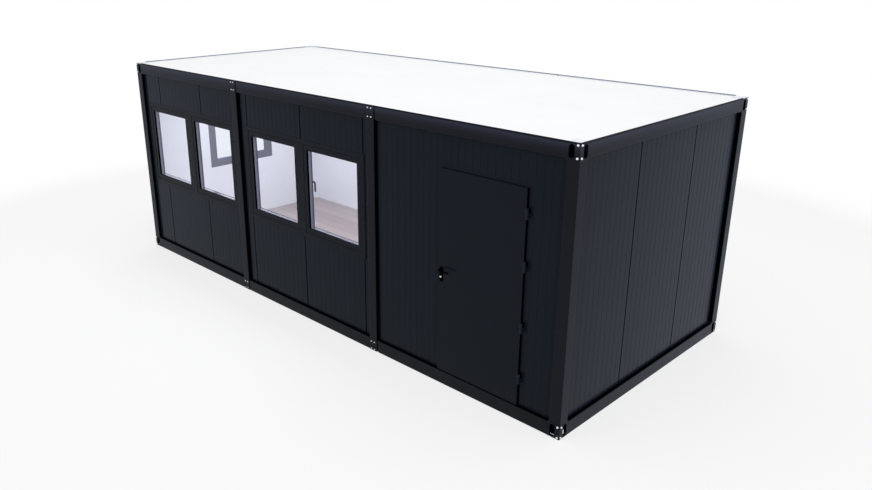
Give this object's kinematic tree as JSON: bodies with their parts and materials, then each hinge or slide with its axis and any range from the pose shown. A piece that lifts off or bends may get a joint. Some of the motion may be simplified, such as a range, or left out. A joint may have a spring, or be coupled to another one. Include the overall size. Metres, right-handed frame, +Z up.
{
  "type": "portable site cabin",
  "caption": "Flat-roofed portable site cabin with a bolted steel frame, ribbed wall panels, casement windows and one hinged door.",
  "frame": {"origin": "centre of the frame's footprint, on the ground", "axes": "+X along the cabin towards the end nearest the door, -Y out of the front with the door and the windows, +Z up"},
  "size_m": [7, 3.051, 2.6],
  "materials": {
    "frame_paint": "satin anthracite paint",
    "panel_paint": "satin anthracite coil coating",
    "door_paint": "satin anthracite paint",
    "hinge_steel": "painted steel",
    "window_plastic": "matt anthracite profile",
    "pane_glass": "clear double glazing",
    "floor_planks": "pale plank floor covering",
    "ceiling_white": "white lining",
    "roof_sheet": "white roof sheet",
    "black_plastic": "black fittings",
    "zinc": "bright zinc"
  },
  "bodies": {
    "frame": {"base_casting_front_left": "frame_paint", "base_casting_front_right": "frame_paint", "base_casting_back_left": "frame_paint", "base_casting_back_right": "frame_paint", "roof_casting_front_left": "frame_paint", "roof_casting_front_right": "frame_paint", "roof_casting_back_left": "frame_paint", "roof_casting_back_right": "frame_paint", "corner_post_front_left": "frame_paint", "corner_post_front_right": "frame_paint", "corner_post_back_left": "frame_paint", "corner_post_back_right": "frame_paint", "middle_posts": "frame_paint", "base_rail_front": "frame_paint", "base_rail_back": "frame_paint", "base_rail_left": "frame_paint", "base_rail_right": "frame_paint", "roof_rail_front": "frame_paint", "roof_rail_back": "frame_paint", "roof_rail_left": "frame_paint", "roof_rail_right": "frame_paint", "floor_joists": "frame_paint", "floor_deck": "floor_planks", "ceiling_panel": "ceiling_white", "roof_sheet": "roof_sheet", "front_wall_left": "panel_paint", "front_wall_middle": "panel_paint", "front_wall_right": "panel_paint", "back_wall": "panel_paint", "left_wall": "panel_paint", "right_wall": "panel_paint", "window_casing_1": "window_plastic", "window_casing_2": "window_plastic", "window_casing_3": "window_plastic", "window_casing_4": "window_plastic", "window_casing_5": "window_plastic", "window_sashes": "window_plastic", "window_panes": "pane_glass", "door_frame": "door_paint", "door_hinge_posts": "hinge_steel"},
    "door": {"door_leaf": "door_paint", "door_hinge_leaves": "hinge_steel", "door_plates": "black_plastic", "door_cylinder": "zinc"},
    "lever": {"door_levers": "black_plastic"}
  },
  "joints": [
    {"name": "door_hinge", "type": "hinge", "parent": "frame", "child": "door", "pos_m": [3.0425, -1.501, 0.143], "axis": [0, 0, 1], "range_deg": [0, 115]},
    {"name": "lever_turn", "type": "hinge", "parent": "door", "child": "lever", "pos_m": [2.0975, -1.5, 1.195], "axis": [0, 1, 0], "range_deg": [0, 40], "stiffness_Nm_per_rad": 2, "springref_deg": -20.05}
  ]
}
